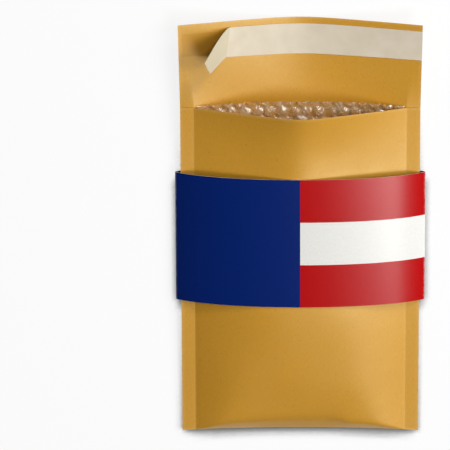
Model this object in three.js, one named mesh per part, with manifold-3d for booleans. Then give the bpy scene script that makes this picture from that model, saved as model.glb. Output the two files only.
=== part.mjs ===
// Padded mailer: a kraft paper envelope lined with bubble film, lying on its back with its mouth open.
// Its flap is laid out past the lip, the release liner on the flap is partly peeled, and a loose paper
// band goes round its middle. Millimetres: +X across the mailer, +Y from the bottom fold to the tip of
// the flap, +Z up from the surface that the back rests on.

import * as THREE from 'three';
import { mergeVertices } from 'three/addons/utils/BufferGeometryUtils.js';
import Module from 'manifold-3d';

const { lerp, smoothstep, clamp } = THREE.MathUtils;

const wasm = await Module();
wasm.setup();

// The envelope
const MAILER_WIDTH = 152.4; // outside of one side seam to outside of the other
const POCKET_LENGTH = 228.6; // bottom fold to lip
const FLAP_LENGTH = 59; // lip to the tip of the flap
const FLAP_FLARE = 1; // how far each side of the tip stands out past the seam
const SEAM_WIDTH = 8.7; // glued strip along each side
const SEAM_THICKNESS = 0.8; // two papers with crushed film between them
const PAPER = 0.2; // kraft paper
const LINING = 3.2; // bubble film
const LINING_GAP = 0.3; // play between paper and film
const LINING_EDGE = 0.1; // film pressed flat where it runs into a seam
const LINING_RECESS = 0.5; // lip to the top edge of the film

// How the open envelope bows
const FRONT_BOW = 12.6; // crown of the front over the seams, along the pocket
const MOUTH_BOW = 19.4; // crown of the front over the seams, at the lip
const REST_HALF_WIDTH = 30; // half of the strip of the back that lies flat
const SEAM_RISE_BOTTOM = 3; // seams over the resting strip, at the bottom fold
const SEAM_RISE_POCKET = 5.5; // the same, where the band goes round
const SEAM_RISE_MOUTH = 8; // the same, at the lip
const FLAP_TIP_RISE = 14.6; // corners of the tip over its middle
const SEAM_FADE = 20; // length past the lip over which the seam's flat edge runs out into the flap
const FRONT_RIDGE = 10; // how sharp the rounded ridge of the front is at the mouth: less is sharper
const FLAP_VALLEY = 18; // the same for the valley along the middle of the flap
const FLAP_OPENING = 3; // how soon past the lip the flap takes on that valley: 1 is evenly, more is sooner
const BOTTOM_REACH = 60; // length over which the pillow closes to the bottom fold
const BOTTOM_CURVE = 0.55; // how that closing runs: 1 is a straight slope, less is rounder
const HIP_SHARPNESS = 6; // how crisply the slopes of bottom and sides meet in a hip
const BOTTOM_PULL = 2.2; // how far the middle of the bottom fold is drawn in
const BOTTOM_PULL_REACH = 60; // length over which that pull fades out
const CORNER_SLACK = 2.5; // how much faster a layer narrows than it thins, at the seams

// The paper band
const BAND_FROM = 94.5; // bottom fold to the band's lower edge
const BAND_HEIGHT = 88.9;
const BAND_EASE = 4; // how far each fold of the band stands out past the seam
const BAND_CARD = 0.25;
const BAND_FULLNESS = 0.6; // how far out the front's arc keeps its height before it turns down to the fold
const BAND_HEEL = 0.8; // how far out the back stays down, from its resting strip (0) to the fold (1)
const BAND_CLEARANCE = 0.3; // play between band and envelope
const BAND_LAP = 16; // glued lap in the middle of the back
const BAND_JOGGLE = 5; // length over which a layer steps over the lap's edge

// The adhesive strip and its release liner, on the inside of the flap
const LINER_WIDTH = 20.6;
const LINER_MARGIN = 4.3; // tip of the flap to the liner
const LINER_THICKNESS = 0.09;
const LINER_GAP = 0.5; // flap to the underside of the liner
const ADHESIVE_WIDTH = 16;
const ADHESIVE_THICKNESS = 0.1;
const ADHESIVE_GAP = 0.17; // flap to the underside of the adhesive
const ADHESIVE_INDENT = 1.5; // side edge of the flap to the end of the adhesive

// The peeled end of the liner: where each of its edges leaves the flap, and how its tip stands
const PEEL_LOWER = 30.3; // side of the flap to the bend, on the edge nearer the lip
const PEEL_UPPER = 33.1; // the same, on the edge nearer the tip of the flap
const TAB_LOWER_REACH = new THREE.Vector3(-11.2, -3.3, 17.9); // bend to tip, on the lower edge
const TAB_UPPER_REACH = new THREE.Vector3(-17.1, -10.7, 31.1); // bend to tip, on the upper edge
const TAB_LOWER_BEND = 2; // how far the lower edge runs on along the flap as it bends
const TAB_UPPER_BEND = 5;

// How finely the curved sheets are divided
const ACROSS = 20; // facets across the pillow between the seams
const CLOSING_STEPS = 8; // facets of the pillow's bottom slope, closer together towards the fold
const CLOSING_CROWDING = 1.8;
const LOWER_STEPS = 2; // facets from there to the band
const BAND_STEPS = 3; // facets under the band
const MOUTH_STEPS = 4; // facets from the band to the lip
const FLAP_STEPS = 3; // facets of the flap below the adhesive
const TAB_STEPS = 10;
const LINER_STEPS = 16;
const LINER_ROWS = 4;
const BAND_CURVE_STEPS = 24;
const BEZIER_CROWN = 0.75; // height of a symmetric cubic's crown over its ends, as a share of its handles'

// Places that follow from those sizes
const HALF_WIDTH = MAILER_WIDTH / 2;
const SEAM_INNER = HALF_WIDTH - SEAM_WIDTH;
const LIP = POCKET_LENGTH;
const TIP = POCKET_LENGTH + FLAP_LENGTH;
const BAND_TO = BAND_FROM + BAND_HEIGHT;
const FLOOR = 2 * BAND_CARD + BAND_CLEARANCE; // the back's resting strip, over the lapped band
const LINER_TO = TIP - LINER_MARGIN;
const LINER_FROM = LINER_TO - LINER_WIDTH;
const ADHESIVE_FROM = LINER_FROM + (LINER_WIDTH - ADHESIVE_WIDTH) / 2;
const ADHESIVE_TO = ADHESIVE_FROM + ADHESIVE_WIDTH;
const MOUTH_OVERRUN = FLAP_LENGTH / 12; // how far the pocket's hollow is cut on past the lip
const MOUTH_LIFT = 0.1; // how far that cut stays clear of the flap

// How far along from the band to the lip a place is, 0 to 1.
function mouthShare(y) {
  return clamp((y - BAND_TO) / (LIP - BAND_TO), 0, 1);
}

// How far along from the lip to the tip of the flap a place is, 0 to 1.
function flapShare(y) {
  return clamp((y - LIP) / FLAP_LENGTH, 0, 1);
}

// Rise of the side edges over the resting strip. The band holds it even, and the mouth and the flap
// stand open further.
function seamRise(y) {
  const rise = lerp(SEAM_RISE_BOTTOM, SEAM_RISE_POCKET, smoothstep(y, 0, BAND_FROM));
  const opened = lerp(rise, SEAM_RISE_MOUTH, mouthShare(y) ** 2);
  return lerp(opened, FLAP_TIP_RISE, flapShare(y));
}

// Height of the middle of the seams.
function seamLevel(y) {
  return FLOOR + seamRise(y) + SEAM_THICKNESS / 2;
}

// Crown of the front panel over the seams.
function frontBow(y) {
  return lerp(FRONT_BOW, MOUTH_BOW, mouthShare(y) ** 2);
}

// Half the width of the sheet, with the slight flare of the flap.
function halfWidth(y) {
  return HALF_WIDTH + FLAP_FLARE * flapShare(y);
}

// Share of the seam's rise that the back has at x: none on its resting strip, all of it at `edge`.
function backShare(x, rest, edge) {
  return clamp((Math.abs(x) - rest) / (edge - rest), 0, 1) ** 2;
}

// A rounded V: 0 in the middle, 1 at `edge`, with straight sides and a round of size `round` at the middle.
function roundedV(x, edge, round) {
  return (Math.hypot(x, round) - round) / (Math.hypot(edge, round) - round);
}

// Top of the flap: a trough that starts as the back of the pocket and opens to a full valley at the tip.
function flapTop(x, y) {
  const edge = lerp(SEAM_INNER, halfWidth(y), clamp((y - LIP) / SEAM_FADE, 0, 1));
  const valley = Math.min(1, roundedV(x, edge, FLAP_VALLEY));
  const opened = 1 - (1 - flapShare(y)) ** FLAP_OPENING;
  const share = lerp(backShare(x, REST_HALF_WIDTH, edge), valley, opened);
  return FLOOR + PAPER + seamRise(y) * share;
}

// The lower of two slopes, with a rounded hip where they meet.
function hip(a, b) {
  if (a <= 0 || b <= 0) return 0;
  return (a ** -HIP_SHARPNESS + b ** -HIP_SHARPNESS) ** (-1 / HIP_SHARPNESS);
}

// Cross-section of the front, 1 at its crown and 0 at `edge`: an even arc below the band, and above the
// band a ridge with straighter sides.
function frontDome(x, y, edge) {
  const ridge = 1 - roundedV(x, edge, FRONT_RIDGE);
  const opened = smoothstep(y, BAND_FROM, BAND_TO);
  return Math.max(0, lerp(1 - (x / edge) ** 2, ridge, opened));
}

// The bottom fold is drawn in at its middle.
function drawnIn(x, y) {
  const fade = clamp(1 - y / BOTTOM_PULL_REACH, 0, 1);
  return y + BOTTOM_PULL * (1 - (x / HALF_WIDTH) ** 2) * fade;
}

// One skin of the pillow-shaped pocket, `inset` inside the paper's outer face and `edge` thick where it
// runs into the seams. It gives the skin's front and back heights at (x, y), and its half width.
function pillow(inset, edge) {
  const half = SEAM_INNER - CORNER_SLACK * inset;
  const lift = SEAM_THICKNESS / 2 - edge / 2 - inset;
  const closing = (y) => (Math.max(0, y - inset) / BOTTOM_REACH) ** BOTTOM_CURVE;
  const front = (x, y) => {
    const crown = frontBow(y) + lift;
    return seamLevel(y) + edge / 2 + crown * hip(closing(y), frontDome(x, y, half));
  };
  const back = (x, y) => {
    const crown = seamRise(y) + lift;
    const dome = 1 - backShare(x, REST_HALF_WIDTH, half);
    return seamLevel(y) - edge / 2 - crown * hip(closing(y), dome);
  };
  const bottomRows = spaced(0, 1, CLOSING_STEPS).map((share) => {
    return lerp(inset, BOTTOM_REACH, share ** CLOSING_CROWDING);
  });
  return { half, front, back, bottomRows };
}

// Evenly spaced values from one end to the other, both included.
function spaced(from, to, steps) {
  return Array.from({ length: steps + 1 }, (_, step) => lerp(from, to, step / steps));
}

// Rows of a pocket skin from its bottom up to `end`, close together where it curves.
function pocketRows(skin, end) {
  const lower = spaced(BOTTOM_REACH, BAND_FROM, LOWER_STEPS).slice(1);
  const banded = spaced(BAND_FROM, BAND_TO, BAND_STEPS).slice(1);
  const mouth = spaced(BAND_TO, end, MOUTH_STEPS).slice(1);
  return [...skin.bottomRows, ...lower, ...banded, ...mouth];
}

// Closed solid between an upper and a lower grid of points. place(column, row) gives both points.
function gridSolid(columns, rows, place) {
  const width = columns.length;
  const points = rows.flatMap((row) => columns.map((column) => place(column, row)));
  const below = points.length;
  const positions = [...points.map((p) => p.top), ...points.map((p) => p.bottom)];
  const at = (column, row) => row * width + column;
  const triangles = [];
  for (let row = 0; row + 1 < rows.length; row += 1) {
    for (let column = 0; column + 1 < width; column += 1) {
      const a = at(column, row);
      const b = at(column + 1, row);
      const c = at(column + 1, row + 1);
      const d = at(column, row + 1);
      triangles.push([a, b, c], [a, c, d]);
      triangles.push([a + below, c + below, b + below], [a + below, d + below, c + below]);
    }
  }
  const lastColumn = width - 1;
  const lastRow = rows.length - 1;
  const rim = [];
  for (let column = 0; column < lastColumn; column += 1) rim.push(at(column, 0));
  for (let row = 0; row < lastRow; row += 1) rim.push(at(lastColumn, row));
  for (let column = lastColumn; column > 0; column -= 1) rim.push(at(column, lastRow));
  for (let row = lastRow; row > 0; row -= 1) rim.push(at(0, row));
  rim.forEach((p, index) => {
    const q = rim[(index + 1) % rim.length];
    triangles.push([p + below, q + below, q], [p + below, q, p]);
  });
  return closedGeometry(positions, triangles);
}

// Geometry with shared points merged and triangles that have no area left out.
function closedGeometry(positions, triangles) {
  const loose = new THREE.BufferGeometry();
  const numbers = positions.flatMap((p) => [p.x, p.y, p.z]);
  loose.setAttribute('position', new THREE.Float32BufferAttribute(numbers, 3));
  loose.setIndex(triangles.flat());
  const merged = mergeVertices(loose, 1e-4);
  const index = merged.getIndex().array;
  const kept = [];
  for (let start = 0; start < index.length; start += 3) {
    const [a, b, c] = index.slice(start, start + 3);
    if (a !== b && b !== c && c !== a) kept.push(a, b, c);
  }
  merged.setIndex(kept);
  return merged;
}

function toSolid(geometry) {
  const mesh = new wasm.Mesh({
    numProp: 3,
    vertProperties: new Float32Array(geometry.getAttribute('position').array),
    triVerts: new Uint32Array(geometry.getIndex().array),
  });
  return new wasm.Manifold(mesh);
}

function toGeometry(solid) {
  const mesh = solid.getMesh();
  const geometry = new THREE.BufferGeometry();
  geometry.setAttribute('position', new THREE.Float32BufferAttribute(mesh.vertProperties, 3));
  geometry.setIndex([...mesh.triVerts]);
  return geometry;
}

function cutOut(outside, inside) {
  return toGeometry(toSolid(outside).subtract(toSolid(inside)));
}

// Columns of a pocket skin as shares of its half width.
const shares = spaced(-1, 1, ACROSS);

// Solid pillow inside one pocket skin, from its bottom to `end`.
function pillowSolid(skin, end) {
  return gridSolid(shares, pocketRows(skin, end), (share, row) => {
    const x = share * skin.half;
    const y = drawnIn(x, row);
    return {
      top: new THREE.Vector3(x, y, skin.front(x, row)),
      bottom: new THREE.Vector3(x, y, skin.back(x, row)),
    };
  });
}

// The kraft sheet's outside: the pillow with its flat seams, and at the lip a step down to the flap.
function shellOutside() {
  const skin = pillow(0, SEAM_THICKNESS);
  const columns = [-HALF_WIDTH, ...shares.map((share) => share * skin.half), HALF_WIDTH];
  const pocket = pocketRows(skin, LIP).map((y) => ({ y, onFlap: false }));
  const plainFlap = spaced(LIP + MOUTH_OVERRUN, LINER_FROM, FLAP_STEPS);
  const flapRows = [LIP, ...plainFlap, ADHESIVE_FROM, ADHESIVE_TO, LINER_TO, TIP];
  const flap = flapRows.map((y) => ({ y, onFlap: true }));
  return gridSolid(columns, [...pocket, ...flap], (column, row) => {
    const atEdge = Math.abs(column) === HALF_WIDTH;
    const x = atEdge ? Math.sign(column) * halfWidth(row.y) : column;
    const y = drawnIn(x, row.y);
    const top = row.onFlap ? flapTop(x, row.y) : skin.front(x, row.y);
    const bottom = row.onFlap ? flapTop(x, row.y) - PAPER : skin.back(x, row.y);
    return { top: new THREE.Vector3(x, y, top), bottom: new THREE.Vector3(x, y, bottom) };
  });
}

// The hollow of the paper pocket, cut on past the lip just above the flap.
function shellHollow() {
  const skin = pillow(PAPER, SEAM_THICKNESS - 2 * PAPER);
  const pastLip = LIP + MOUTH_OVERRUN;
  const rows = [...pocketRows(skin, LIP), pastLip];
  return gridSolid(shares, rows, (share, row) => {
    const x = share * skin.half;
    const y = drawnIn(x, row);
    const front = skin.front(x, Math.min(row, LIP));
    const back = row === pastLip ? flapTop(x, row) + MOUTH_LIFT : skin.back(x, row);
    return { top: new THREE.Vector3(x, y, front), bottom: new THREE.Vector3(x, y, back) };
  });
}

function kraftShell() {
  return cutOut(shellOutside(), shellHollow());
}

// The bubble film, as deep as its bubbles, folded at the bottom and open at the lip.
function bubbleLining() {
  const end = LIP - LINING_RECESS;
  const outside = pillow(PAPER + LINING_GAP, LINING_EDGE);
  const inside = pillow(PAPER + LINING_GAP + LINING, LINING_EDGE);
  return cutOut(pillowSolid(outside, end), pillowSolid(inside, LIP + MOUTH_OVERRUN));
}

// Flat strip of hot-melt across the flap.
function adhesiveStrip() {
  const end = HALF_WIDTH - ADHESIVE_INDENT;
  const columns = [-end, ...shares.map((share) => share * SEAM_INNER), end];
  return gridSolid(columns, [ADHESIVE_FROM, ADHESIVE_TO], (x, y) => {
    const bottom = flapTop(x, y) + ADHESIVE_GAP;
    return {
      top: new THREE.Vector3(x, y, bottom + ADHESIVE_THICKNESS),
      bottom: new THREE.Vector3(x, y, bottom),
    };
  });
}

// A point of the liner where it lies on the flap.
function linerOnFlap(x, y) {
  return new THREE.Vector3(x, y, flapTop(x, y) + LINER_GAP);
}

// One long edge of the peeled tab: it leaves the flap along its slope and bends up to its tip.
function tabEdge(root, bend, reach) {
  const slope = flapTop(root.x - bend, root.y) - flapTop(root.x, root.y);
  const along = new THREE.Vector3(-bend, 0, slope);
  return new THREE.QuadraticBezierCurve3(root, root.clone().add(along), root.clone().add(reach));
}

// The release liner: flat on the flap up to a skew bend, then a free tab ruled between two curved edges.
function releaseLiner() {
  const lowerRoot = linerOnFlap(-halfWidth(LINER_FROM) + PEEL_LOWER, LINER_FROM);
  const upperRoot = linerOnFlap(-halfWidth(LINER_TO) + PEEL_UPPER, LINER_TO);
  const lowerEdge = tabEdge(lowerRoot, TAB_LOWER_BEND, TAB_LOWER_REACH);
  const upperEdge = tabEdge(upperRoot, TAB_UPPER_BEND, TAB_UPPER_REACH);
  const tab = spaced(1, 0, TAB_STEPS).map((share) => ({ onTab: true, share }));
  const flat = spaced(0, 1, LINER_STEPS).slice(1).map((share) => ({ onTab: false, share }));
  const middle = (column, row) => {
    if (column.onTab) {
      return lowerEdge.getPoint(column.share).lerp(upperEdge.getPoint(column.share), row);
    }
    const y = lerp(LINER_FROM, LINER_TO, row);
    const bend = lerp(lowerRoot.x, upperRoot.x, row);
    return linerOnFlap(lerp(bend, halfWidth(y), column.share), y);
  };
  const columns = [...tab, ...flat].map((column, index) => ({ ...column, index }));
  const rows = spaced(0, 1, LINER_ROWS);
  const normal = (column, row) => {
    const before = columns[Math.max(0, column.index - 1)];
    const after = columns[Math.min(columns.length - 1, column.index + 1)];
    const along = middle(after, row).sub(middle(before, row));
    const across = middle(column, 1).sub(middle(column, 0));
    return along.cross(across).normalize();
  };
  return gridSolid(columns, rows, (column, row) => {
    const bottom = middle(column, row);
    const top = bottom.clone().addScaledVector(normal(column, row), LINER_THICKNESS);
    return { top, bottom };
  });
}

// The band's section: two arcs that meet in a fold at each side, flat where it rests, with the lap's cut
// edge and joggle in the middle of the back. `depth` moves the outline inwards, for the inside.
function bandOutline(depth, flat) {
  const edge = HALF_WIDTH + BAND_EASE;
  const level = seamLevel(BAND_TO);
  const crown = level + SEAM_THICKNESS / 2 + frontBow(BAND_TO) + BAND_CLEARANCE + BAND_CARD;
  const rear = level / ((edge - REST_HALF_WIDTH) * (1 - BAND_HEEL));
  const front = (crown - level) / BEZIER_CROWN / (edge * (1 - BAND_FULLNESS));
  const foldInset = depth / Math.sin((Math.atan(front) + Math.atan(rear)) / 2);
  const side = edge - foldInset;
  const floor = depth;
  const bend = lerp(REST_HALF_WIDTH, side, BAND_HEEL);
  const outline = new THREE.Path();
  outline.moveTo(side, level);
  const shoulder = level + (crown - depth - level) / BEZIER_CROWN;
  outline.bezierCurveTo(side * BAND_FULLNESS, shoulder, -side * BAND_FULLNESS, shoulder, -side, level);
  outline.quadraticCurveTo(-bend, floor, -REST_HALF_WIDTH, floor);
  flat.forEach(([x, z]) => outline.lineTo(x, z));
  outline.lineTo(REST_HALF_WIDTH, floor);
  outline.quadraticCurveTo(bend, floor, side, level);
  return outline;
}

function paperBand() {
  const lap = BAND_LAP / 2;
  const outerLap = [[lap, 0], [lap, BAND_CARD / 2], [lap + BAND_JOGGLE, 0]];
  const innerEnd = [[-lap, BAND_CARD], [-lap, 2 * BAND_CARD]];
  const innerLap = [...innerEnd, [lap, 2 * BAND_CARD], [lap + BAND_JOGGLE, BAND_CARD]];
  const section = new THREE.Shape(bandOutline(0, outerLap).getPoints(BAND_CURVE_STEPS));
  section.holes.push(new THREE.Path(bandOutline(BAND_CARD, innerLap).getPoints(BAND_CURVE_STEPS)));
  return new THREE.ExtrudeGeometry(section, { depth: BAND_HEIGHT, bevelEnabled: false });
}

function finish(color, roughness, options = {}) {
  return new THREE.MeshStandardMaterial({ color, roughness, metalness: 0, ...options });
}

function piece(name, geometry, material) {
  const mesh = new THREE.Mesh(geometry, material);
  mesh.name = name;
  return mesh;
}

const mailer = new THREE.Group();
mailer.position.y = -TIP / 2;

mailer.add(piece('kraft_shell', kraftShell(), finish(0xd3a24e, 0.62)));
const film = finish(0xe6dccb, 0.15, { transparent: true, opacity: 0.45 });
mailer.add(piece('bubble_lining', bubbleLining(), film));
mailer.add(piece('adhesive_strip', adhesiveStrip(), finish(0xb98a3c, 0.25)));
mailer.add(piece('release_liner', releaseLiner(), finish(0xece5d6, 0.5)));

const band = piece('paper_band', paperBand(), finish(0x0b2f6e, 0.4));
band.rotation.x = Math.PI / 2;
band.position.y = BAND_TO;
mailer.add(band);

export default mailer;
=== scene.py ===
# %% [markdown]
# # A padded mailer, sheet by sheet
# The real mailer is five thin things: a folded kraft sheet, a folded bubble film, a strip of glue, the
# paper that covers the glue, and a printed paper band round the middle. Each one starts here as the flat
# sheet that it was cut from, is laid on a formula for its shape, and then gets its thickness.

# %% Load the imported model
import math

import bpy
import numpy as np
from mathutils import Matrix, Vector


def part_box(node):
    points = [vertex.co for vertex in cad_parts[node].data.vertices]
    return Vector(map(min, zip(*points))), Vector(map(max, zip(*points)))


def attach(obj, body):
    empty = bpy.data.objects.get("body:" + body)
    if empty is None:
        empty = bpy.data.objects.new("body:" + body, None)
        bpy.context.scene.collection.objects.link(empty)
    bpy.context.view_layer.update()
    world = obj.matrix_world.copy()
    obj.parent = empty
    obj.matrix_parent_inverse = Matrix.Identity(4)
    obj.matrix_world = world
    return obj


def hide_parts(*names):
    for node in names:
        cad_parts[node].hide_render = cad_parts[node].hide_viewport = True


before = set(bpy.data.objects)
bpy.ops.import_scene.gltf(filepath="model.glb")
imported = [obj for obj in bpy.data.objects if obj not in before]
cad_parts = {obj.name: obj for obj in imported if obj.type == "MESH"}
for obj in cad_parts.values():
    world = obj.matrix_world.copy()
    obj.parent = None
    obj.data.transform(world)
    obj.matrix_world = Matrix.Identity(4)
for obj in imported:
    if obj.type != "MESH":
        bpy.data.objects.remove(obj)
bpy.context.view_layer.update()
MM = 0.001
print("nodes:", sorted(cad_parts))

# %% [markdown]
# ## Where things are
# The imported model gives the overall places: the bottom fold, the lip, the tip of the flap, the band. They
# could be typed in again, but then a new size of mailer would need two edits. From here on, a length is in
# millimetres and y is counted from the bottom fold, because that is how a paper maker would draw it.

# %% Places from the frame
SHELL_LOW, SHELL_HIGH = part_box("kraft_shell")
LINING_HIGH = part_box("bubble_lining")[1]
BAND_LOW, BAND_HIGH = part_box("paper_band")
LINER_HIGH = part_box("release_liner")[1]
GLUE_LOW, GLUE_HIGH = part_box("adhesive_strip")
FOLD_Y = SHELL_LOW[1]


def from_fold(y):
    return (y - FOLD_Y) / MM


LINING_RECESS = 0.5
FLAP_FLARE = 1.0
LIP = from_fold(LINING_HIGH[1]) + LINING_RECESS
TIP = from_fold(SHELL_HIGH[1])
BAND_FROM = from_fold(BAND_LOW[1])
BAND_TO = from_fold(BAND_HIGH[1])
HALF_WIDTH = SHELL_HIGH[0] / MM - FLAP_FLARE
BAND_HALF = BAND_HIGH[0] / MM
BAND_CROWN = BAND_HIGH[2] / MM
FLOOR = SHELL_LOW[2] / MM
LINER_TO = from_fold(LINER_HIGH[1])
GLUE_FROM = from_fold(GLUE_LOW[1])
GLUE_TO = from_fold(GLUE_HIGH[1])
GLUE_HALF = GLUE_HIGH[0] / MM
print(f"pocket {LIP:.1f} mm, flap {TIP - LIP:.1f} mm, width {2 * HALF_WIDTH:.1f} mm")

# %% [markdown]
# ## The shape of an open mailer
# Paper bends one way at a time, so an open mailer is a set of simple slopes: the seams rise from the
# bottom to the mouth, the front arches over them, and the flap is a long shallow valley. Near the bottom
# the slope of the fold meets the slopes of the sides in two soft hips, as on a pillow or a roof. A cloth
# simulation could find such a shape too, but paper hardly stretches, and formulas keep its folds straight
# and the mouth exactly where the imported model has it.

# %% Slopes of the mailer
SEAM_WIDTH = 8.7
SEAM_THICKNESS = 0.8
PAPER = 0.2
FRONT_BOW = 12.6
MOUTH_BOW = 19.4
REST_HALF_WIDTH = 30.0
REST_AT_MOUTH = 8.0
SEAM_RISE_BOTTOM = 3.0
SEAM_RISE_POCKET = 5.5
SEAM_RISE_MOUTH = 8.0
FLAP_TIP_RISE = 14.6
FRONT_RIDGE = 10.0
FLAP_VALLEY = 18.0
FLAP_OPENING = 5.0
SEAM_FADE = 50.0
BOTTOM_REACH = 60.0
BOTTOM_CURVE = 0.55
HIP_SHARPNESS = 6.0
CREASE_X = [-68, -45, -20, 0, 18, 25, 31, 45, 68]
CREASE_Y = [5.0, 7.0, 9.0, 10.0, 11.0, 9.0, 6.5, 6.0, 4.0]
CREASE_LEVEL = 0.42
BOTTOM_PULL = 2.2
BOTTOM_PULL_REACH = 60.0
SEAM_INNER = HALF_WIDTH - SEAM_WIDTH


def blend(a, b, share):
    return a + (b - a) * share


def ramp(value, low, high):
    return np.clip((value - low) / (high - low), 0, 1)


def ease(share):
    return share * share * (3 - 2 * share)


def seam_rise(y):
    rise = blend(SEAM_RISE_BOTTOM, SEAM_RISE_POCKET, ease(ramp(y, 0, BAND_FROM)))
    opened = blend(rise, SEAM_RISE_MOUTH, ramp(y, BAND_TO, LIP) ** 2)
    return blend(opened, FLAP_TIP_RISE, ramp(y, LIP, TIP))


def seam_level(y):
    return FLOOR + seam_rise(y) + SEAM_THICKNESS / 2


def half_width(y):
    return HALF_WIDTH + FLAP_FLARE * ramp(y, LIP, TIP)


def back_share(x, y, edge):
    rest = blend(REST_HALF_WIDTH, REST_AT_MOUTH, ease(ramp(y, BAND_TO, LIP)))
    return ramp(np.abs(x), rest, edge) ** 2


def rounded_v(x, edge, round_size):
    return (np.hypot(x, round_size) - round_size) / (np.hypot(edge, round_size) - round_size)


def hip(a, b):
    a = np.maximum(a, 1e-6)
    b = np.maximum(b, 1e-6)
    return (a**-HIP_SHARPNESS + b**-HIP_SHARPNESS) ** (-1 / HIP_SHARPNESS)


def closing(y, inset):
    return (np.maximum(0, y - inset) / BOTTOM_REACH) ** BOTTOM_CURVE


print(f"seams {seam_rise(LIP):.1f} mm up at the lip, {seam_rise(TIP):.1f} mm at the flap's tip")


# %% Heights of the front, the back and the flap
def tucked(x, y, inset):
    """Closing of the front: a steep roll up from the fold to a soft crease, and a gentle slope after it."""
    crease = np.interp(x, CREASE_X, CREASE_Y)
    slope = (1 - CREASE_LEVEL) / BOTTOM_REACH
    run = np.maximum(0, y - inset)
    return hip((CREASE_LEVEL + slope * crease) / crease * run, CREASE_LEVEL + slope * run)


def drawn_in(x, y):
    fade = np.clip(1 - y / BOTTOM_PULL_REACH, 0, 1)
    return y + BOTTOM_PULL * (1 - (x / HALF_WIDTH) ** 2) * fade


def front_height(x, y, inset=0.0, edge=SEAM_THICKNESS, half=SEAM_INNER):
    bow = blend(FRONT_BOW, MOUTH_BOW, ramp(y, BAND_TO, LIP) ** 2)
    crown = bow + SEAM_THICKNESS / 2 - edge / 2 - inset
    ridge = 1 - rounded_v(x, half, FRONT_RIDGE)
    dome = blend(1 - (x / half) ** 2, ridge, ease(ramp(y, BAND_FROM, BAND_TO)))
    return seam_level(y) + edge / 2 + crown * hip(tucked(x, y, inset), dome) * (dome > 0)


def back_height(x, y, inset=0.0, edge=SEAM_THICKNESS, half=SEAM_INNER):
    crown = seam_rise(y) + SEAM_THICKNESS / 2 - edge / 2 - inset
    dome = 1 - back_share(x, y, half)
    return seam_level(y) - edge / 2 - crown * hip(closing(y, inset), dome) * (dome > 0)


def flap_height(x, y):
    valley = rounded_v(x, half_width(y), FLAP_VALLEY)
    edge = blend(SEAM_INNER, half_width(y), ease(ramp(y, LIP, LIP + SEAM_FADE)))
    share = blend(back_share(x, y, edge), valley, 1 - (1 - ramp(y, LIP, TIP)) ** FLAP_OPENING)
    return FLOOR + seam_rise(y) * share


print(f"front crown at the lip: {float(front_height(0.0, LIP)):.1f} mm over the table")

# %% [markdown]
# ## From a flat sheet to a shaped one
# Every sheet is made in the same moves. A grid is added, which is the flat cut. Its points are placed, row
# by row, on the shape. Then Solidify gives a paper its thickness, and is applied, so that the finished mesh
# has two faces and real cut edges. The film is so thin that it stays a single skin.
# A number can be kept on each point as well. The finishes read it, to show where a sheet is rubbed, and
# where the liner's peeled tab gets painted shade.


# %% Helpers for sheets
def deselect_all():
    bpy.ops.object.select_all(action="DESELECT")


def new_sheet(name, points):
    """Add a flat grid and place its points, given in mm as an array of rows by columns by 3."""
    rows, columns = points.shape[:2]
    deselect_all()
    bpy.ops.mesh.primitive_grid_add(x_subdivisions=columns - 1, y_subdivisions=rows - 1, size=1)
    sheet = bpy.context.object
    sheet.name = name
    sheet.data.name = name
    placed = points.reshape(-1, 3) * MM
    placed[:, 1] += FOLD_Y
    sheet.data.vertices.foreach_set("co", placed.ravel())
    sheet.data.update()
    return sheet


def apply_modifier(piece, kind, **settings):
    deselect_all()
    piece.select_set(True)
    bpy.context.view_layer.objects.active = piece
    modifier = piece.modifiers.new(kind.title(), kind)
    for key, value in settings.items():
        setattr(modifier, key, value)
    bpy.ops.object.modifier_apply(modifier=modifier.name)


def shade_smooth(piece, angle):
    deselect_all()
    piece.select_set(True)
    bpy.context.view_layer.objects.active = piece
    bpy.ops.object.shade_smooth_by_angle(angle=math.radians(angle))


def mark(piece, name, values):
    """Keep one number for each point of a flat sheet, for its finish to read."""
    layer = piece.data.attributes.new(name, "FLOAT", "POINT")
    layer.data.foreach_set("value", np.ascontiguousarray(values, dtype=np.float32).ravel())


def report(piece):
    piece.data.calc_loop_triangles()
    print(f"{piece.name}: {len(piece.data.loop_triangles)} triangles")


# %% [markdown]
# ## The kraft sheet
# The paper is one rectangle, 152 by 516 mm. From the lip it runs down the front, turns at the bottom fold,
# runs up the back and goes on past the lip as the flap. Two panels and a flap could be made one by one, but
# the real sheet has no joint at its fold. So the rows of the grid run along that same path, and both seams
# come out as two papers lying on each other. The columns crowd at the seam's crease.

# %% Make the kraft shell
PANEL_STEP = 1.6
FLAP_STEP = 1.4
SEAM_COLUMNS = 7
PANEL_COLUMNS = 92
FOLD_ZONE_ROWS = 45
CREASE = 0.35
BUCKLE = 0.13
BUCKLE_WAVES = [(0.11, 0.045, 0.0), (0.07, -0.083, 1.3), (0.02, 0.12, 4.0)]
CALM_AT_FOLD = (5, 40)
CALM_AT_LIP = (2, 30)
FOLD_ROWS = 5
BOTTOM_CROWDING = 1.8
WEAR_WIDTH = 1.8
CREASE_WEAR = 0.25


def panel_rows():
    """Rows of one panel from the bottom fold to the lip, closer together near the fold."""
    low = BOTTOM_REACH * np.linspace(0, 1, FOLD_ZONE_ROWS) ** BOTTOM_CROWDING
    high = np.arange(BOTTOM_REACH + PANEL_STEP, LIP, PANEL_STEP)
    return np.concatenate([low, high, [LIP]])


def flap_rows():
    return np.append(np.arange(LIP + FLAP_STEP, TIP, FLAP_STEP), TIP)


def kraft_columns():
    """Places across the sheet, with three close together at each seam's crease."""
    seam = np.append(SEAM_INNER, np.linspace(SEAM_INNER + CREASE, HALF_WIDTH, SEAM_COLUMNS))
    panel = np.linspace(CREASE - SEAM_INNER, SEAM_INNER - CREASE, PANEL_COLUMNS)
    return np.concatenate([-seam[::-1], panel, seam])[::-1]


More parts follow.
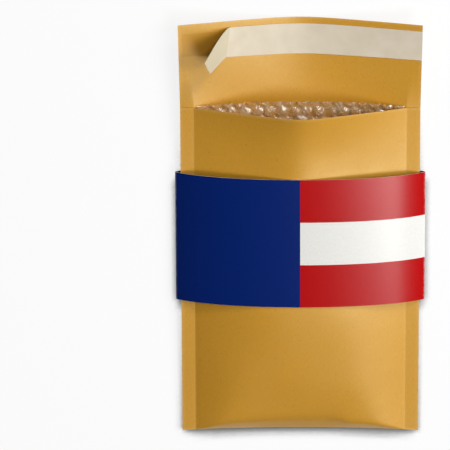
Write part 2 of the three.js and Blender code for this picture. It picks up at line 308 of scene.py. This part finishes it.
def buckles(x, y):
    """Shallow waves of slack paper, none of them at the seams, the fold or the lip."""
    waves = sum(np.sin(x * across + y * up + start) for across, up, start in BUCKLE_WAVES)
    calm = ramp(y, *CALM_AT_FOLD) * ramp(LIP - y, *CALM_AT_LIP)
    return BUCKLE * waves * calm * np.clip(1 - (x / SEAM_INNER) ** 2, 0, 1)


def kraft_points():
    columns = kraft_columns()
    rows = panel_rows()
    front_x, front_y = np.meshgrid(columns, rows[::-1])
    front_z = front_height(front_x, front_y) + buckles(front_x, front_y)
    front = np.dstack([front_x, drawn_in(front_x, front_y), front_z])
    turn = np.linspace(0, math.pi, FOLD_ROWS + 2)[1:-1]
    fold_x, angle = np.meshgrid(columns, turn)
    fold_y = drawn_in(fold_x, 0 * fold_x) - SEAM_THICKNESS / 2 * np.sin(angle)
    fold_z = seam_level(0.0) + SEAM_THICKNESS / 2 * np.cos(angle)
    fold = np.dstack([fold_x, fold_y + SEAM_THICKNESS / 2, fold_z])
    back_x, back_y = np.meshgrid(columns, rows)
    back = np.dstack([back_x, drawn_in(back_x, back_y), back_height(back_x, back_y)])
    flap_x, flap_y = np.meshgrid(columns, flap_rows())
    flap_x = flap_x * half_width(flap_y) / HALF_WIDTH
    flap = np.dstack([flap_x, flap_y, flap_height(flap_x, flap_y)])
    return np.vstack([front, fold, back, flap])


def kraft_wear():
    """How rubbed the paper is: most on the cut edges and the bottom fold, less on the seams' creases."""

    def close_to(distance):
        return np.clip(1 - np.abs(distance) / WEAR_WIDTH, 0, 1)

    columns = np.abs(kraft_columns())
    rows = panel_rows()
    front = np.maximum(close_to(LIP - rows), close_to(rows))[::-1]
    rubbed = np.concatenate([front, np.ones(FOLD_ROWS), close_to(rows), close_to(TIP - flap_rows())])
    creased = np.arange(len(rubbed)) < len(rubbed) - len(flap_rows())
    edges = np.maximum(rubbed[:, None], close_to(HALF_WIDTH - columns)[None, :])
    return np.maximum(edges, CREASE_WEAR * creased[:, None] * close_to(SEAM_INNER - columns)[None, :])


kraft_shell = new_sheet("kraft_shell_sheet", kraft_points())
mark(kraft_shell, "wear", kraft_wear())
apply_modifier(kraft_shell, "SOLIDIFY", thickness=PAPER * MM, offset=-1, use_rim=True)
shade_smooth(kraft_shell, 50)
report(kraft_shell)

# %% [markdown]
# ## The bubble lining
# Bubble film is a flat film with a formed one on it, whose blisters are about 7 mm across and 2 mm high.
# They face the goods. One blister could be modelled and copied, but all copies would be alike. A formula
# over the whole film gives each blister its own height, because some are half crushed, and flattens them
# where the lining runs into a seam. The upper edge of the back lining shows over the front lip.

# %% Make the bubble lining
LINING_INSET = 0.55
LINING_HALF = SEAM_INNER - 1.6
LINING_EDGE = 0.1
LINING_PROUD = 1.6
FRONT_SHORT = 1.2
BUBBLE_PITCH = 7.8
BUBBLE_RADIUS = 3.7
BUBBLE_HEIGHT = 2.2
BUBBLE_CRUSH = 0.7
BUBBLE_DENTS = 0.3
BUBBLE_WANDER = 0.5
BUBBLE_SHAPE = 3.2
FILM_STEP = 0.85
ROOM_SHARE = 0.4
ROW_PITCH = BUBBLE_PITCH * math.sqrt(3) / 2


def bubble_height(x, run, seed):
    """Height of the blisters over the flat film, on a honeycomb of centres."""
    row = np.floor(run / ROW_PITCH + 0.5)
    shift = (row % 2) * BUBBLE_PITCH / 2
    column = np.floor((x - shift) / BUBBLE_PITCH + 0.5)
    noise = np.sin(row * 12.9898 + column * 78.233 + seed) * 43758.5453
    chance = noise - np.floor(noise)
    aside = x - shift - column * BUBBLE_PITCH - BUBBLE_WANDER * np.sin(40 * chance)
    distance = np.hypot(aside, run - row * ROW_PITCH - BUBBLE_WANDER * np.cos(40 * chance))
    blister = np.clip(1 - (distance / BUBBLE_RADIUS) ** BUBBLE_SHAPE, 0, 1) ** 0.6
    dents = np.sin(x * 2.3 + seed + 3 * chance) * np.sin(run * 1.9 + 5 * chance)
    return BUBBLE_HEIGHT * (1 - BUBBLE_CRUSH * chance + BUBBLE_DENTS * dents) * blister


def lining_side(y_rows, height, direction, seed):
    x, y = np.meshgrid(np.linspace(-LINING_HALF, LINING_HALF, int(2 * LINING_HALF / FILM_STEP)), y_rows)
    skin = height(x, y, LINING_INSET, LINING_EDGE, LINING_HALF)
    shape = (LINING_INSET, LINING_EDGE, LINING_HALF)
    room = front_height(x, y, *shape) - back_height(x, y, *shape)
    blisters = np.minimum(bubble_height(x, y, seed), ROOM_SHARE * room)
    return np.dstack([x, drawn_in(x, y), skin + direction * blisters])


def lining_points():
    back_rows = np.arange(LINING_INSET, LIP + LINING_PROUD, FILM_STEP)
    front_rows = np.arange(LIP - FRONT_SHORT, LINING_INSET, -FILM_STEP)
    front = lining_side(front_rows, front_height, -1, 3.1)
    back = lining_side(back_rows, back_height, 1, 7.7)
    return np.vstack([front, back])[:, ::-1]


bubble_lining = new_sheet("bubble_lining_film", lining_points())
shade_smooth(bubble_lining, 60)
report(bubble_lining)

# %% [markdown]
# ## Glue, release liner and the peeled tab
# The glue is a thin glossy strip on the flap. The liner over it is coated paper, flush with the flap at
# the right. At the left it has been lifted: it leaves the flap along a skew bend and stands up as a tab.
# Bending a finished strip would stretch it. A ruled surface between two curved edges bends the way paper
# does, and only the ends of those two edges have to be read from the view.

# %% Make the glue strip
GLUE_GAP = 0.08
GLUE_THICKNESS = 0.08
GLUE_COLUMNS = 120
GLUE_ROWS = 14


def strip_on_flap(xs, ys, gap):
    x, y = np.meshgrid(xs, ys)
    return np.dstack([x, y, flap_height(x, y) + PAPER + gap])


glue_x = np.linspace(-GLUE_HALF, GLUE_HALF, GLUE_COLUMNS)
glue_y = np.linspace(GLUE_FROM, GLUE_TO, GLUE_ROWS)
glue_strip = new_sheet("glue_strip", strip_on_flap(glue_x, glue_y, GLUE_GAP))
apply_modifier(glue_strip, "SOLIDIFY", thickness=GLUE_THICKNESS * MM, offset=1)
shade_smooth(glue_strip, 30)
report(glue_strip)

# %% Make the release liner
LINER_WIDTH = 20.6
LINER_FROM = LINER_TO - LINER_WIDTH
LINER_GAP = 0.22
LINER_THICKNESS = 0.1
PEEL_LOWER = 30.3
PEEL_UPPER = 33.1
TAB_LOWER_REACH = np.array([-10.4, -4.3, 17.9])
TAB_UPPER_REACH = np.array([-15.9, -11.9, 30.9])
TAB_LOWER_BEND = 1.0
TAB_UPPER_BEND = 4.0
TAB_COLUMNS = 44
LINER_COLUMNS = 130
LINER_ROWS = 17
LIFT_STEP = 3


def on_flap(x, y):
    return np.array([x, y, float(flap_height(x, y)) + PAPER + LINER_GAP])


def tab_edge(root, bend, reach, shares):
    """A curve that leaves the flap along its slope and bends up to its tip."""
    slope = flap_height(root[0] - bend, root[1]) - flap_height(root[0], root[1])
    handle = root + np.array([-bend, 0, float(slope)])
    tip = root + reach
    t = shares[:, None]
    return (1 - t) ** 2 * root + 2 * t * (1 - t) * handle + t**2 * tip


def liner_points():
    lower_root = on_flap(-float(half_width(LINER_FROM)) + PEEL_LOWER, LINER_FROM)
    upper_root = on_flap(-float(half_width(LINER_TO)) + PEEL_UPPER, LINER_TO)
    shares = np.linspace(1, 0, TAB_COLUMNS)
    lower = tab_edge(lower_root, TAB_LOWER_BEND, TAB_LOWER_REACH, shares)
    upper = tab_edge(upper_root, TAB_UPPER_BEND, TAB_UPPER_REACH, shares)
    rows = []
    for share in np.linspace(0, 1, LINER_ROWS):
        y = blend(LINER_FROM, LINER_TO, share)
        bend = blend(lower_root[0], upper_root[0], share)
        xs = np.linspace(bend, float(half_width(y)), LINER_COLUMNS)[1:]
        flat = strip_on_flap(xs, np.array([y]), LINER_GAP)[0]
        rows.append(np.vstack([blend(lower, upper, share), flat]))
    return np.array(rows)


def liner_tab_painted_shade_mask():
    """1 on the peeled tab, 0 where the liner lies on the glue, with a short step at the bend: the mask of
    the tab's painted shade.
    """
    columns = np.arange(TAB_COLUMNS + LINER_COLUMNS - 1)
    across = np.clip((TAB_COLUMNS - 1 - columns) / LIFT_STEP, 0, 1)
    return np.tile(across, (LINER_ROWS, 1))


release_liner = new_sheet("release_liner_strip", liner_points())
mark(release_liner, "lifted", liner_tab_painted_shade_mask())
apply_modifier(release_liner, "SOLIDIFY", thickness=LINER_THICKNESS * MM, offset=1)
shade_smooth(release_liner, 30)
report(release_liner)

# %% [markdown]
# ## The paper band
# The band is a strip of card that goes once round and is glued on itself in the middle of the back. Its
# section is drawn as one path: from the hidden end of the lap, round the right fold, over the front, round
# the left fold and back to the cut edge that lies outside. Solidify can give each side of a sheet its own
# material, if the slots are there before it is applied: the inside, painted near black as shade, the white
# cut edge, the print.

# %% Make the paper band
BAND_CARD = 0.25
BAND_LAP = 16.0
BAND_JOGGLE = 5.0
BAND_FULLNESS = 0.6
BAND_HEEL = 70.0
BEZIER_CROWN = 0.75
BAND_ROWS = 28
BAND_STEP = 0.6
SIDE_STEPS = 60
FRONT_STEPS = 160
SOFTEN_PASSES = 3
FOLD_WEAR = 1.6


def bezier(points, steps):
    t = np.linspace(0, 1, steps)[:, None]
    while len(points) > 1:
        points = [(1 - t) * a + t * b for a, b in zip(points, points[1:])]
    return points[0] + 0 * t


def along(points):
    lengths = np.hypot(*np.diff(points, axis=0).T)
    return np.concatenate([[0], np.cumsum(lengths)])


def resampled(points, step):
    run = along(points)
    places = np.linspace(0, run[-1], int(run[-1] / step) + 1)
    return np.column_stack([np.interp(places, run, points[:, axis]) for axis in (0, 1)])


def softened(points, passes):
    for _ in range(passes):
        points[1:-1] = (points[:-2] + 2 * points[1:-1] + points[2:]) / 4
    return points


def spot(x, z):
    return np.array([x, z])


def band_path():
    lap = BAND_LAP / 2
    mid = BAND_CARD / 2
    side = BAND_HALF - mid
    level = float(seam_level(BAND_TO))
    crown = BAND_CROWN - mid
    shoulder = level + (crown - level) / BEZIER_CROWN
    hidden_end = [spot(-lap, 3 * mid), spot(lap, 3 * mid), spot(lap + BAND_JOGGLE, mid)]
    right = bezier([spot(REST_HALF_WIDTH, mid), spot(BAND_HEEL, mid), spot(side, level)], SIDE_STEPS)
    handles = [spot(side * BAND_FULLNESS, shoulder), spot(-side * BAND_FULLNESS, shoulder)]
    front = bezier([spot(side, level), *handles, spot(-side, level)], FRONT_STEPS)
    left = bezier([spot(-side, level), spot(-BAND_HEEL, mid), spot(-REST_HALF_WIDTH, mid)], SIDE_STEPS)
    return np.vstack([hidden_end, right, front, left, [spot(lap, mid)]])


def band_points():
    path = softened(resampled(band_path(), BAND_STEP), SOFTEN_PASSES)
    rows = []
    for y in np.linspace(BAND_FROM, BAND_TO, BAND_ROWS):
        rows.append(np.column_stack([path[:, 0], np.full(len(path), y), path[:, 1]]))
    return np.array(rows)


sleeve = band_points()
paper_band = new_sheet("paper_band_sleeve", sleeve)
mark(paper_band, "wear", ramp(np.abs(sleeve[:, :, 0]), BAND_HALF - FOLD_WEAR, BAND_HALF))
BAND_LENGTH = float(along(band_path())[-1])
for _ in ("inside", "cut edge", "print"):
    paper_band.data.materials.append(None)
layers = {"material_offset": 2, "material_offset_rim": 1}
apply_modifier(paper_band, "SOLIDIFY", thickness=BAND_CARD * MM, offset=0, **layers)
shade_smooth(paper_band, 30)
report(paper_band)
print(f"band cut to {BAND_LENGTH:.0f} mm")

# %% [markdown]
# ## How a finish is written
# A finish is a small tree of nodes. It could be drawn in the shader editor, but written out it needs many
# lines for each node and each link. A class with a few short verbs keeps every finish to about ten lines.
# The patterns are noise on object coordinates, in metres, so a fibre is as long as a real one and nothing
# needs a UV map. What is the same all over a surface is set on the shader's own socket.


# %% Helpers for materials
def srgb(red, green, blue):
    def linear(value):
        value /= 255
        return value / 12.92 if value <= 0.04045 else ((value + 0.055) / 1.055) ** 2.4

    return (linear(red), linear(green), linear(blue), 1.0)


class Finish:
    """A material with short ways to add nodes and join them."""

    def __init__(self, name):
        self.material = bpy.data.materials.new(name)
        self.material.use_nodes = True
        self.tree = self.material.node_tree
        self.shader = self.tree.nodes["Principled BSDF"]

    def node(self, kind, **settings):
        made = self.tree.nodes.new(kind)
        for key, value in settings.items():
            if hasattr(made, key):
                setattr(made, key, value)
            else:
                made.inputs[key.replace("_", " ")].default_value = value
        return made

    def join(self, source, target):
        self.tree.links.new(source, target)

    def place(self, scale):
        """Object coordinates stretched by a scale for each axis."""
        where = self.node("ShaderNodeTexCoord")
        mapping = self.node("ShaderNodeMapping")
        mapping.inputs["Scale"].default_value = scale
        self.join(where.outputs["Object"], mapping.inputs["Vector"])
        return mapping.outputs["Vector"]

    def noise(self, scale, frequency, detail=3.0, rough=0.55):
        made = self.node("ShaderNodeTexNoise", Scale=frequency, Detail=detail, Roughness=rough)
        self.join(self.place(scale), made.inputs["Vector"])
        return made.outputs["Fac"]

    def stops(self, factor, stops):
        made = self.node("ShaderNodeValToRGB")
        ramp_stops = made.color_ramp.elements
        while len(ramp_stops) < len(stops):
            ramp_stops.new(0.5)
        for stop, (position, colour) in zip(ramp_stops, stops):
            stop.position = position
            stop.color = colour
        self.join(factor, made.inputs["Fac"])
        return made.outputs["Color"]

    def span(self, factor, low, high):
        """A number that runs from low to high over the middle of a noise."""
        made = self.node("ShaderNodeMapRange", From_Min=0.3, From_Max=0.7, To_Min=low, To_Max=high)
        self.join(factor, made.inputs["Value"])
        return made.outputs[0]

    def mark(self, name):
        return self.node("ShaderNodeAttribute", attribute_name=name).outputs["Fac"]

    def mix(self, factor, first, second, blend_type="MIX"):
        made = self.node("ShaderNodeMix", data_type="RGBA", blend_type=blend_type)
        for value, socket in ((factor, 0), (first, 6), (second, 7)):
            if hasattr(value, "is_output"):
                self.join(value, made.inputs[socket])
            else:
                made.inputs[socket].default_value = value
        return made.outputs[2]

    def calc(self, operation, first, second):
        made = self.node("ShaderNodeMath", operation=operation)
        for index, value in enumerate((first, second)):
            if hasattr(value, "is_output"):
                self.join(value, made.inputs[index])
            else:
                made.inputs[index].default_value = value
        return made.outputs[0]

    def bump(self, height, distance, strength=1.0):
        made = self.node("ShaderNodeBump", Strength=strength, Distance=distance)
        self.join(height, made.inputs["Height"])
        self.join(made.outputs["Normal"], self.shader.inputs["Normal"])

    def set(self, **values):
        for key, value in values.items():
            socket = self.shader.inputs[key.replace("_", " ")]
            if hasattr(value, "is_output"):
                self.join(value, socket)
            else:
                socket.default_value = value
        return self.material


def dress(piece, *materials):
    """Fill the piece's material slots, in order, and add those that are missing."""
    slots = piece.data.materials
    for index, material in enumerate(materials):
        if index < len(slots):
            slots[index] = material
        else:
            slots.append(material)
    print(f"{piece.name}: {', '.join(material.name for material in materials)}")


# %% [markdown]
# ## Kraft paper
# Kraft is a strong golden brown, with fine fibres along the sheet, clouds of darker pulp and a few dark
# flecks. A picture of paper could be wrapped on it, but it would stretch and repeat. Noise that is squeezed
# along the sheet gives fibres instead. The glazed side takes a soft sheen, a little yellow like the paper,
# and the cut edges and the fold are rubbed paler.


# %% Kraft paper
def kraft_paper():
    finish = Finish("kraft_paper")
    fibres = finish.noise((1.0, 0.16, 1.0), 2600, 4.0, 0.6)
    cloud = finish.noise((1.0, 1.0, 1.0), 60, 3.0, 0.5)
    flecks = finish.noise((1.0, 0.35, 1.0), 1500, 1.0, 0.4)
    colour = finish.stops(
        fibres,
        [(0.30, srgb(205, 145, 31)), (0.55, srgb(212, 152, 38)), (0.75, srgb(219, 160, 48))],
    )
    colour = finish.mix(finish.stops(cloud, [(0.35, (0, 0, 0, 1)), (0.7, (0.35, 0.35, 0.35, 1))]),
                        colour, srgb(203, 143, 31))
    dark = finish.stops(flecks, [(0.68, (0, 0, 0, 1)), (0.76, (0.4, 0.4, 0.4, 1))])
    colour = finish.mix(dark, colour, srgb(160, 102, 18))
    rubbed = finish.calc("MULTIPLY", finish.mark("wear"), finish.span(flecks, 0.1, 0.7))
    colour = finish.mix(rubbed, colour, srgb(228, 182, 104))
    finish.bump(fibres, 0.00004, 0.5)
    finish.set(Roughness=finish.span(cloud, 0.43, 0.5), IOR=1.58)
    return finish.set(Base_Color=colour, Specular_IOR_Level=1.0, Specular_Tint=(0.95, 1.0, 0.72, 1))


dress(kraft_shell, kraft_paper())

# %% [markdown]
# ## Clear film, glue and liner
# Film is clear, so what shows of it is gloss and a little haze. Refraction could do that, but in so thin a
# skin it is slow and noisy. Here alpha lets the paper behind show through. Alpha weakens the gloss too, so
# the index of refraction is higher than real film has. The glue hardly shows. The liner is coated paper,
# off-white, with painted shade on its peeled end: a darker colour in place of the shading of the raised tab.


# %% Clear film, glue and liner
def clear_film():
    finish = Finish("clear_bubble_film")
    ripple = finish.noise((1.0, 1.0, 1.0), 260, 3.0, 0.6)
    finish.bump(ripple, 0.0018, 0.8)
    haze = finish.noise((1.0, 1.0, 1.0), 210, 1.0, 0.4)
    cover = finish.span(haze, 0.2, 0.74)
    smudge = finish.noise((1.0, 1.0, 1.0), 320, 2.0, 0.5)
    finish.set(Base_Color=srgb(255, 233, 194), Roughness=finish.span(smudge, 0.08, 0.2))
    return finish.set(Alpha=cover, IOR=2.4, Specular_IOR_Level=1.0)


def hot_melt():
    finish = Finish("hot_melt_glue")
    flow = finish.noise((0.3, 1.0, 1.0), 500, 2.0, 0.5)
    finish.bump(flow, 0.0002, 0.5)
    finish.set(Base_Color=srgb(206, 150, 50), Roughness=finish.span(flow, 0.3, 0.5))
    return finish.set(Alpha=0.05, Specular_IOR_Level=0.2)


def liner_paper():
    finish = Finish("coated_liner_paper")
    grain = finish.noise((1.0, 1.0, 1.0), 1800, 3.0, 0.5)
    cloud = finish.noise((1.0, 1.0, 1.0), 90, 2.0, 0.5)
    colour = finish.stops(cloud, [(0.3, srgb(216, 203, 180)), (0.7, srgb(224, 212, 191))])
    # Painted shade: the lifted tab is given a darker colour in place of the shading of the raised tab.
    colour = finish.mix(finish.mark("lifted"), colour, srgb(205, 196, 171))
    finish.bump(grain, 0.00003, 0.4)
    return finish.set(Base_Color=colour, Roughness=finish.span(cloud, 0.44, 0.56), Specular_IOR_Level=0.2)


dress(bubble_lining, clear_film())
dress(glue_strip, hot_melt())
dress(release_liner, liner_paper())

# %% [markdown]
# ## Printed band
# The print is a blue half and a half in red, white and red, under a satin varnish. The fields could be faces
# with their own materials, but then the mesh would have to follow the ink. Chosen by their place, in object
# coordinates, they have sharp edges on any mesh. The folds at the two sides are scuffed to the white card,
# and the cut edge is bare card. The inside is painted shade: a near-black colour in place of the plain card
# in shadow.

# %% Printed band
BAND_BLUE = srgb(0, 33, 108)
BAND_RED = srgb(184, 4, 6)
BAND_WHITE = srgb(237, 236, 231)


def printed_band():
    finish = Finish("printed_band")
    where = finish.node("ShaderNodeTexCoord")
    split = finish.node("ShaderNodeSeparateXYZ")
    finish.join(where.outputs["Object"], split.inputs[0])
    stripe = (BAND_TO - BAND_FROM) / 3
    low = FOLD_Y + (BAND_FROM + stripe) * MM
    high = FOLD_Y + (BAND_FROM + 2 * stripe) * MM
    above = finish.calc("GREATER_THAN", split.outputs["Y"], low)
    below = finish.calc("LESS_THAN", split.outputs["Y"], high)
    striped = finish.mix(finish.calc("MULTIPLY", above, below), BAND_RED, BAND_WHITE)
    field = finish.mix(finish.calc("GREATER_THAN", split.outputs["X"], 0.0), BAND_BLUE, striped)
    mottle = finish.noise((1.0, 1.0, 1.0), 700, 3.0, 0.6)
    shade = finish.stops(mottle, [(0.3, (0.94, 0.94, 0.94, 1)), (0.7, (1, 1, 1, 1))])
    colour = finish.mix(1.0, field, shade, "MULTIPLY")
    scuffs = finish.noise((1.0, 0.4, 1.0), 900, 2.0, 0.6)
    rubbed = finish.calc("MULTIPLY", finish.mark("wear"), finish.span(scuffs, 0.0, 0.6))
    colour = finish.mix(rubbed, colour, BAND_WHITE)
    finish.bump(mottle, 0.00002, 0.4)
    return finish.set(Base_Color=colour, Roughness=finish.span(mottle, 0.21, 0.27), Specular_IOR_Level=0.45)


def cut_edge():
    finish = Finish("cut_card_edge")
    grain = finish.noise((1.0, 1.0, 4.0), 2500, 2.0, 0.5)
    colour = finish.stops(grain, [(0.3, srgb(222, 218, 208)), (0.7, srgb(246, 243, 236))])
    finish.bump(grain, 0.00003, 0.5)
    return finish.set(Base_Color=colour, Roughness=finish.span(grain, 0.7, 0.9))


# Painted shade: the unprinted inside of the band is given a near-black colour in place of the shadow inside
# the loop.
def band_inside_painted_shade():
    finish = Finish("band_inside_painted_shade")
    grain = finish.noise((1.0, 1.0, 1.0), 1200, 3.0, 0.5)
    colour = finish.stops(grain, [(0.3, srgb(8, 16, 44)), (0.7, srgb(14, 24, 58))])
    finish.bump(grain, 0.00003, 0.4)
    return finish.set(Base_Color=colour, Roughness=finish.span(grain, 0.6, 0.75))


dress(paper_band, band_inside_painted_shade(), cut_edge(), printed_band())

# %% [markdown]
# ## Joining the imported model
# Each sheet rides on the one body and stands for its plain solid, which then no longer shows. The solids
# stay in the model, because the physics uses them.

# %% Ride and replace
PIECES = [
    (kraft_shell, "kraft_shell", "kraft_paper"),
    (bubble_lining, "bubble_lining", "bubble_film"),
    (glue_strip, "adhesive_strip", "hot_melt"),
    (release_liner, "release_liner", "liner_paper"),
    (paper_band, "paper_band", "band_paper"),
]
for piece, node, slot in PIECES:
    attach(piece, "root")
    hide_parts(node)

# %% [markdown]
# ## Table
# The mailer lies on a white table. More lamp light would make it white, but would bleach the mailer too. So
# camera, glossy and transmission rays see it mostly as a glow of strength 1. The rest of it is a plain pale
# surface that keeps the mailer's shadow. The thin dark line where paper meets table is a painted shadow in
# the glow's colour, from an occlusion node, which looks only for what stands beyond a point, so that the
# line lies in front of the bottom fold.

# %% Table
TABLE_SIZE = 8.0
TABLE_GLOW = 0.86
CONTACT = 14.0
CONTACT_LEAN = (0.98, 0.2)


def table_top():
    finish = Finish("pale_table")
    path = finish.node("ShaderNodeLightPath")
    painted_contact_shadow = finish.node("ShaderNodeAmbientOcclusion", Distance=CONTACT * MM)
    behind = finish.node("ShaderNodeCombineXYZ", Y=CONTACT_LEAN[0], Z=CONTACT_LEAN[1])
    finish.join(behind.outputs[0], painted_contact_shadow.inputs["Normal"])
    # Painted shadow: the occlusion darkens the glow's colour into a contact shadow in front of the bottom
    # fold.
    shade = finish.stops(
        painted_contact_shadow.outputs["AO"],
        [(0.62, (0.06, 0.06, 0.06, 1)), (0.79, (0.26, 0.26, 0.26, 1)), (0.86, (1, 1, 1, 1))],
    )
    finish.set(Base_Color=(0.9, 0.9, 0.9, 1), Roughness=0.9, Specular_IOR_Level=0.1)
    glow = finish.node("ShaderNodeEmission")
    finish.join(shade, glow.inputs["Color"])
    mixed = finish.node("ShaderNodeMixShader")
    seen = path.outputs["Is Camera Ray"]
    for ray in ("Is Glossy Ray", "Is Transmission Ray"):
        seen = finish.calc("MAXIMUM", seen, path.outputs[ray])
    finish.join(finish.calc("MULTIPLY", seen, TABLE_GLOW), mixed.inputs[0])
    finish.join(finish.shader.outputs[0], mixed.inputs[1])
    finish.join(glow.outputs[0], mixed.inputs[2])
    finish.join(mixed.outputs[0], finish.tree.nodes["Material Output"].inputs["Surface"])
    return finish.material


deselect_all()
bpy.ops.mesh.primitive_plane_add(size=TABLE_SIZE, location=(0, 0, 0))
table = bpy.context.object
table.name = "table_top"
dress(table, table_top())

# %% [markdown]
# ## Lamps
# Soft light comes from large lamps. One could do, but then the gloss and the shadows would have to come from
# the same side. A broad lamp on the right lights the paper, one overhead gives the sheen on the front and on
# the band, and a smaller one beyond the flap shines into the mouth. The room is nearly dark, so that the
# slopes of the paper keep their shading.

# %% Lamps
CENTRE = Vector((0, 0, 0.01))
LAMP_DISTANCE = 1.6
ROOM_LIGHT = 0.05


def lamp(name, direction, size, power):
    deselect_all()
    bpy.ops.object.light_add(type="AREA")
    made = bpy.context.object
    made.name = name
    made.data.shape = "SQUARE"
    made.data.size = size
    made.data.energy = power
    towards = Vector(direction).normalized()
    made.location = CENTRE + towards * LAMP_DISTANCE
    made.rotation_euler = towards.to_track_quat("Z", "Y").to_euler()
    print(f"{name}: {power} W, {size} m")


lamp("key_lamp", (0.68, 0.3, 0.67), 0.7, 12.9)
lamp("flap_lamp", (0.35, 0.78, 0.52), 0.4, 9.2)
lamp("sheen_lamp", (0.42, -0.18, 0.89), 0.65, 11.8)
world = bpy.data.worlds.new("room")
bpy.context.scene.world = world
world.use_nodes = True
room = world.node_tree.nodes["Background"]
room.inputs["Color"].default_value = (1, 1, 1, 1)
room.inputs["Strength"].default_value = ROOM_LIGHT
bpy.context.scene.view_settings.view_transform = "Standard"

# %% [markdown]
# ## Camera
# The view has almost no perspective. A short lens close by would show the near end larger, and an
# orthographic camera would show none at all, so the camera stands far off with a long lens. It looks down
# from beyond the flap, so that it sees into the mouth, and it aims to the left of the mailer.

# %% Camera
CAMERA_TILT = math.radians(24)
CAMERA_DISTANCE = 4.5
FRAME_WIDTH = 287.2 * MM
AIM_Y = 147.7
AIM_Z = 10.0
AIM_LEFT = 48.0
SENSOR = 36.0

back = Vector((0, math.sin(CAMERA_TILT), math.cos(CAMERA_TILT)))
aim = Vector((0, FOLD_Y + AIM_Y * MM, AIM_Z * MM))
place = aim + back * CAMERA_DISTANCE
forward = (aim + Vector((-AIM_LEFT * MM, 0, 0)) - place).normalized()
right = forward.cross(Vector((0, math.cos(CAMERA_TILT), -math.sin(CAMERA_TILT)))).normalized()
up = right.cross(forward)
deselect_all()
bpy.ops.object.camera_add(location=place)
camera = bpy.context.object
camera.name = "camera"
camera.rotation_euler = Matrix((right, up, -forward)).transposed().to_euler()
camera.data.sensor_width = SENSOR
camera.data.lens = SENSOR * CAMERA_DISTANCE / FRAME_WIDTH
camera.data.clip_end = 100
bpy.context.scene.camera = camera
print(f"lens {camera.data.lens:.0f} mm")
